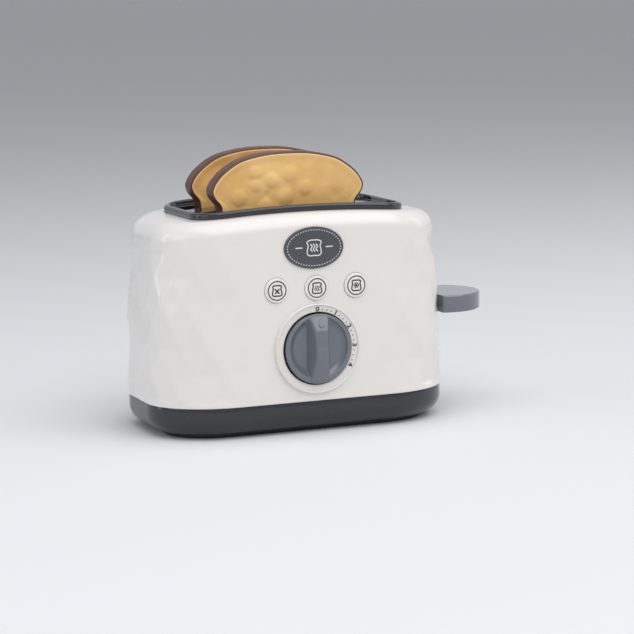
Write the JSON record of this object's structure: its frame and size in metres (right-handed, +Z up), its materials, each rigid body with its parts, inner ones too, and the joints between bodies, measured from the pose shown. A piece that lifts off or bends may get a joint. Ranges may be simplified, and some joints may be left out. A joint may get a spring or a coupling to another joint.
{
  "type": "toy toaster",
  "caption": "Toy pop-up toaster with rounded faceted casing, press-down lever, wind-up timer dial, push buttons and lift-out bread slices",
  "frame": {"origin": "on the resting plane, under the middle of the body's footprint", "axes": "+X from the body towards the lever, +Y from the dial face to the back, +Z up"},
  "size_m": [0.1831, 0.0928, 0.135],
  "materials": {
    "casing_cream": "glossy moulded plastic, warm white",
    "charcoal_gloss": "glossy moulded plastic, charcoal",
    "badge_charcoal": "satin charcoal with a printed white dashed line",
    "control_grey": "satin grey plastic",
    "button_cream": "glossy warm white with printed pictograms",
    "bread_crumb": "golden moulded plastic, soft sheen",
    "bread_crust": "dark brown crust",
    "inner_white": "plain natural plastic",
    "inner_dark": "plain dark plastic",
    "gear_brass": "stamped brass",
    "steel": "plain steel"
  },
  "bodies": {
    "frame": {"casing": "casing_cream", "base": "charcoal_gloss", "base_screws": "steel", "top_trim": "charcoal_gloss", "slot_liner": "inner_dark", "badge": "badge_charcoal", "dial_bezel": "casing_cream", "button_frame": "inner_white", "timer_case": "inner_white", "timer_cover": "steel", "timer_screws": "steel", "inner_screws": "steel", "mainspring": "steel", "guide_rods": "steel", "lift_bracket": "inner_white", "latch_pin": "steel", "latch_spring": "steel", "lift_spring_front": "steel", "lift_spring_rear": "steel", "spring_cancel": "steel", "spring_reheat": "steel", "spring_defrost": "steel"},
    "carriage": {"carriage": "inner_white", "rod_bushes": "inner_white", "lever_knob": "control_grey", "lever_screw": "steel"},
    "dial": {"dial_knob": "control_grey", "timer_spindle": "steel", "main_wheel": "gear_brass", "release_cam": "inner_white"},
    "governor": {"governor": "gear_brass"},
    "latch": {"latch": "inner_white"},
    "button_cancel": {"button_cancel": "button_cream"},
    "button_reheat": {"button_reheat": "button_cream"},
    "button_defrost": {"button_defrost": "button_cream"},
    "bread_front": {"bread_front_crust": "bread_crust", "bread_front_crumb": "bread_crumb"},
    "bread_rear": {"bread_rear_crust": "bread_crust", "bread_rear_crumb": "bread_crumb"}
  },
  "joints": [
    {"name": "lever_press", "type": "slide", "parent": "frame", "child": "carriage", "axis": [0, 0, -1], "range_m": [0, 0.02], "stiffness_N_per_m": 60, "springref_m": -0.03, "deforming": ["lift_spring_front", "lift_spring_rear"]},
    {"name": "dial_turn", "type": "hinge", "parent": "frame", "child": "dial", "pos_m": [0, -0.042, 0.0417], "axis": [0, 1, 0], "range_deg": [0, 120], "stiffness_Nm_per_rad": 0.004, "springref_deg": -17.19, "deforming": ["mainspring"]},
    {"name": "governor_spin", "type": "hinge", "parent": "frame", "child": "governor", "pos_m": [-0.0151, -0.034, 0.0417], "axis": [0, 1, 0], "range_deg": [-480, 0]},
    {"name": "latch_swing", "type": "hinge", "parent": "frame", "child": "latch", "pos_m": [0.034, -0.0274, 0.02], "axis": [0, 1, 0], "range_deg": [0, 6], "deforming": ["latch_spring"]},
    {"name": "cancel_press", "type": "slide", "parent": "frame", "child": "button_cancel", "axis": [0, 1, 0], "range_m": [0, 0.0012], "stiffness_N_per_m": 150, "springref_m": -0.002, "deforming": ["spring_cancel"]},
    {"name": "reheat_press", "type": "slide", "parent": "frame", "child": "button_reheat", "axis": [0, 1, 0], "range_m": [0, 0.0012], "stiffness_N_per_m": 150, "springref_m": -0.002, "deforming": ["spring_reheat"]},
    {"name": "defrost_press", "type": "slide", "parent": "frame", "child": "button_defrost", "axis": [0, 1, 0], "range_m": [0, 0.0012], "stiffness_N_per_m": 150, "springref_m": -0.002, "deforming": ["spring_defrost"]},
    {"name": "bread_front_lift", "type": "slide", "parent": "carriage", "child": "bread_front", "axis": [0, 0, 1], "range_m": [0, 0.055]},
    {"name": "bread_rear_lift", "type": "slide", "parent": "carriage", "child": "bread_rear", "axis": [0, 0, 1], "range_m": [0, 0.055]}
  ],
  "couplings": [
    {"joint": "governor_spin", "follows": "dial_turn", "ratio": -4},
    {"joint": "latch_swing", "follows": "dial_turn", "ratio": 0.05}
  ]
}
